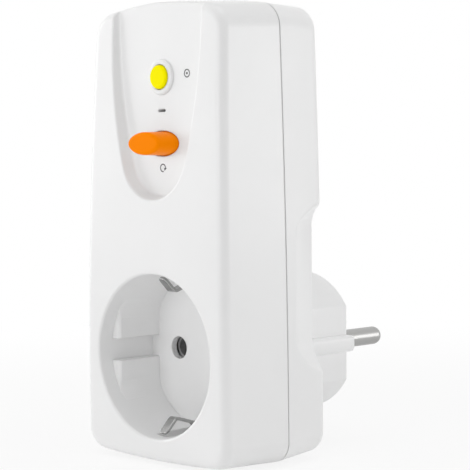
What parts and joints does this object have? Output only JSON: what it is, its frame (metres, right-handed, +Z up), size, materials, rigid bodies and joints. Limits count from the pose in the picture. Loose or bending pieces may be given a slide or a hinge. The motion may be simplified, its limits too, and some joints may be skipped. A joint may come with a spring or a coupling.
{
  "type": "residual current device adapter",
  "caption": "Adapter with a round plug behind and an earthed socket in front, a recessed panel with a small round test button and a wide reset button, and grip scoops beside the plug",
  "frame": {"origin": "centre of the plug's end face, between both pins", "axes": "+X to the right as seen from the front, +Y from the front face to the plug, along the pins, +Z up, from the socket to the buttons"},
  "size_m": [0.0528, 0.0764, 0.1151],
  "materials": {
    "white_plastic": "moulded, glossy",
    "yellow_plastic": "moulded, glossy",
    "orange_plastic": "moulded, glossy",
    "dark_plastic": "moulded, matt",
    "grey_plastic": "moulded, matt",
    "nickel_plate": "nickel plated",
    "brass": "stamped",
    "board": "solder resist",
    "copper": "enamelled copper wire",
    "steel": "zinc plated",
    "component_blue": "epoxy coat",
    "component_tan": "lacquer coat"
  },
  "bodies": {
    "housing": {"front_cover": "white_plastic", "rear_cover": "white_plastic", "mechanism_frame": "grey_plastic", "coil_bobbin": "grey_plastic", "ring_case": "grey_plastic", "plug_pin_left": "nickel_plate", "plug_pin_right": "nickel_plate", "plug_earth_strap": "nickel_plate", "socket_earth_strap": "nickel_plate", "earth_post": "brass", "socket_contact_left": "brass", "socket_contact_right": "brass", "supply_bar_left": "brass", "supply_bar_right": "brass", "load_bar_left": "brass", "load_bar_right": "brass", "circuit_board": "board", "coil_winding": "copper", "ring_winding": "copper", "coil_yoke": "steel", "ring_core": "steel", "housing_screws": "steel", "test_leaf": "brass", "test_terminal": "brass", "varistor": "component_blue", "capacitor": "component_blue", "resistors": "component_tan", "control_chip": "dark_plastic"},
    "test_button": {"test_button": "yellow_plastic", "test_spring": "steel"},
    "reset_button": {"reset_button": "orange_plastic", "reset_spring": "steel"},
    "carrier": {"contact_carrier": "dark_plastic", "plunger": "steel", "contact_bridge_left": "brass", "contact_bridge_right": "brass", "indicator_flag": "dark_plastic", "carrier_spring": "steel"}
  },
  "joints": [
    {"name": "test_press", "type": "slide", "parent": "housing", "child": "test_button", "axis": [0, 1, 0], "range_m": [0, 0.0013], "stiffness_N_per_m": 800, "springref_m": -0.001, "deforming": ["test_spring"]},
    {"name": "reset_press", "type": "slide", "parent": "housing", "child": "reset_button", "axis": [0, 1, 0], "range_m": [0, 0.0025], "stiffness_N_per_m": 800, "springref_m": -0.001, "deforming": ["reset_spring"]},
    {"name": "carrier_slide", "type": "slide", "parent": "housing", "child": "carrier", "axis": [0, 1, 0], "range_m": [0, 0.0025], "stiffness_N_per_m": 600, "springref_m": -0.001, "deforming": ["carrier_spring"]}
  ],
  "couplings": [
    {"joint": "carrier_slide", "follows": "reset_press", "ratio": 1}
  ]
}
